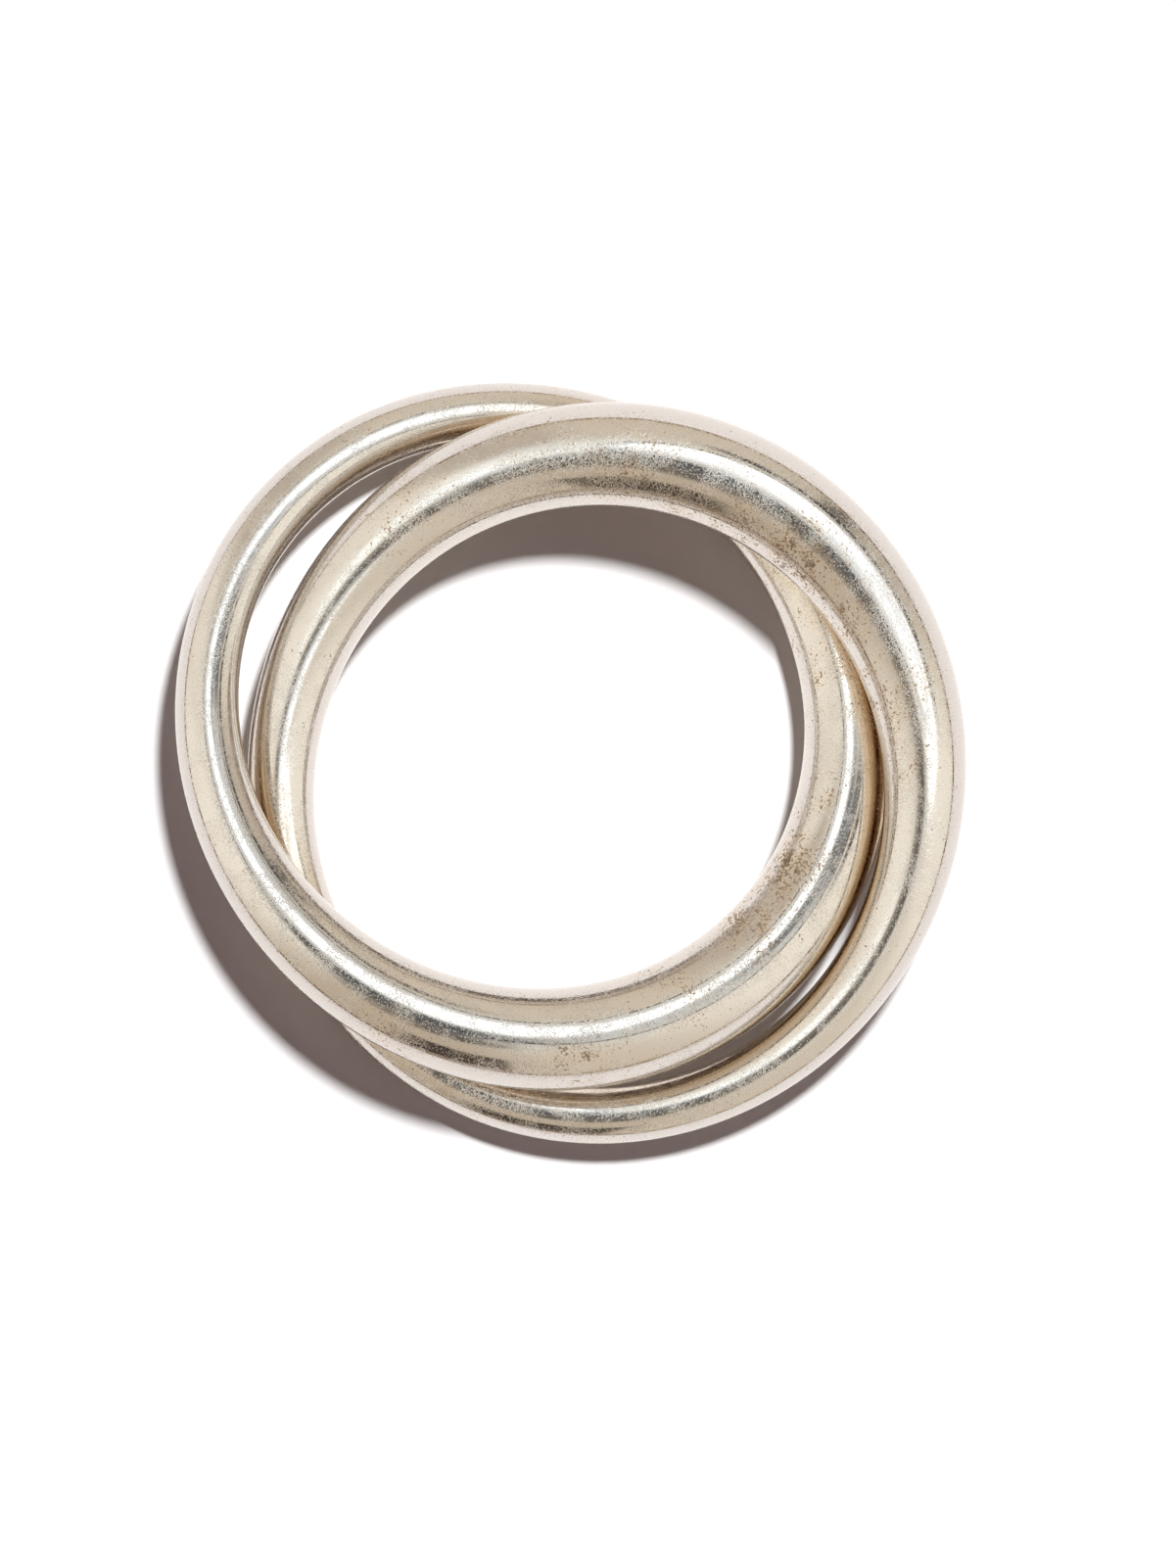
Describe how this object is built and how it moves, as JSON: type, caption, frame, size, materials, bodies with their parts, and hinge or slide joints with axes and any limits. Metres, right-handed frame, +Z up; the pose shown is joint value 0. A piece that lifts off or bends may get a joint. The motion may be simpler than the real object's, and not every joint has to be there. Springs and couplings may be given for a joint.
{
  "type": "linked stacking ring",
  "caption": "Finger ring of round silver bands linked through one another, each swelling from a thin side to a thick side, lying flat with a small gap where they cross.",
  "frame": {"origin": "on the surface that the ring lies on, under the middle of the bounding box of both bands", "axes": "+Z up from the surface, along the way a finger goes through; +X to the right and +Y away in the picture's view from above"},
  "size_m": [0.024, 0.0232, 0.0053],
  "materials": {
    "silver": "polished silver with fine scratches and small brown tarnish specks"
  },
  "bodies": {
    "root": {"upper_band": "silver", "lower_band": "silver"}
  },
  "joints": []
}
